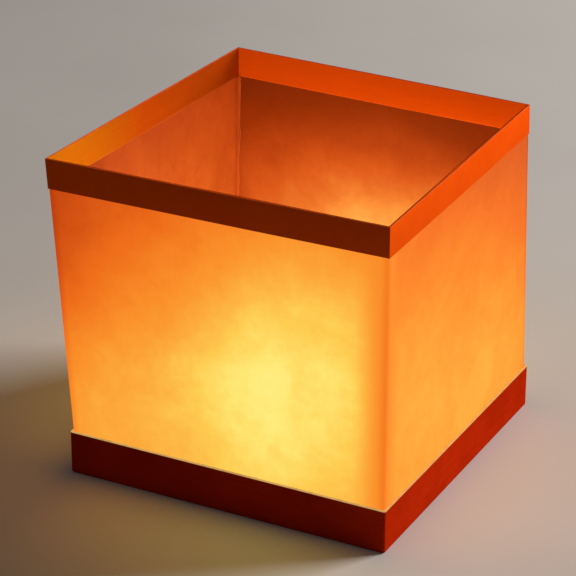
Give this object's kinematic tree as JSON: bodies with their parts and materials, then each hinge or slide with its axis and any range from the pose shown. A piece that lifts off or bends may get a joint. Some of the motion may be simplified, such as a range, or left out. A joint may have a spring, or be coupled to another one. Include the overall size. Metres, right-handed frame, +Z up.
{
  "type": "floating pool light",
  "caption": "Square floating lantern: an open-topped lit paper shade in a foam-filled copper-coloured tray, with a lift-out flame lamp.",
  "frame": {"origin": "centre of the tray's underside, on the surface that the lantern stands on", "axes": "+Z up through the open top, -Y to the front wall, +X to the right wall, where the candle's battery door opens"},
  "size_m": [0.15, 0.15, 0.146],
  "materials": {
    "copper_tray": "satin dark copper-coloured sheet, faintly brushed",
    "copper_strip": "satin orange copper-coloured strip",
    "float_foam": "white closed-cell foam, fine beads",
    "deck": "matt cream sheet",
    "screw_steel": "plain steel",
    "cup_plastic": "matt moulded cream",
    "shade_paper": "translucent amber paper with cloudy fibres, lit from inside",
    "rod_wood": "bare split bamboo, stained warm",
    "candle_plastic": "satin ivory, like wax",
    "flame_plastic": "frosted amber, lit",
    "led_resin": "clear epoxy dome, lit",
    "circuit_board": "green laminate",
    "cell_steel": "polished steel can",
    "contact_metal": "thin spring brass",
    "switch_plastic": "dark moulded"
  },
  "bodies": {
    "float_base": {"base_tray": "copper_tray", "float_block": "float_foam", "deck_plate": "deck", "base_screws": "screw_steel", "candle_cup": "cup_plastic", "cup_screws": "screw_steel", "corner_clip_front_left": "cup_plastic", "corner_clip_front_right": "cup_plastic", "corner_clip_back_right": "cup_plastic", "corner_clip_back_left": "cup_plastic"},
    "shade": {"paper_sleeve": "shade_paper", "rim_strip_front": "copper_strip", "rim_strip_right": "copper_strip", "rim_strip_back": "copper_strip", "rim_strip_left": "copper_strip", "rim_lining_front": "copper_strip", "rim_lining_right": "copper_strip", "rim_lining_back": "copper_strip", "rim_lining_left": "copper_strip", "corner_rod_front_left": "rod_wood", "corner_rod_front_right": "rod_wood", "corner_rod_back_right": "rod_wood", "corner_rod_back_left": "rod_wood"},
    "flame_lamp": {"candle_shell": "candle_plastic", "candle_base": "candle_plastic", "flame_lens": "flame_plastic", "led": "led_resin", "led_leads": "contact_metal", "lamp_board": "circuit_board", "coin_cell": "cell_steel", "contact_top": "contact_metal", "contact_side": "contact_metal"},
    "switch": {"switch_slider": "switch_plastic"},
    "door": {"battery_door": "candle_plastic"}
  },
  "joints": [
    {"name": "shade_lift", "type": "slide", "parent": "float_base", "child": "shade", "axis": [0, 0, 1], "range_m": [0, 0.15]},
    {"name": "candle_lift", "type": "slide", "parent": "float_base", "child": "flame_lamp", "axis": [0, 0, 1], "range_m": [0, 0.15]},
    {"name": "switch_slide", "type": "slide", "parent": "flame_lamp", "child": "switch", "axis": [0, 1, 0], "range_m": [0, 0.0025]},
    {"name": "battery_door_slide", "type": "slide", "parent": "flame_lamp", "child": "door", "axis": [1, 0, 0], "range_m": [0, 0.022]}
  ]
}
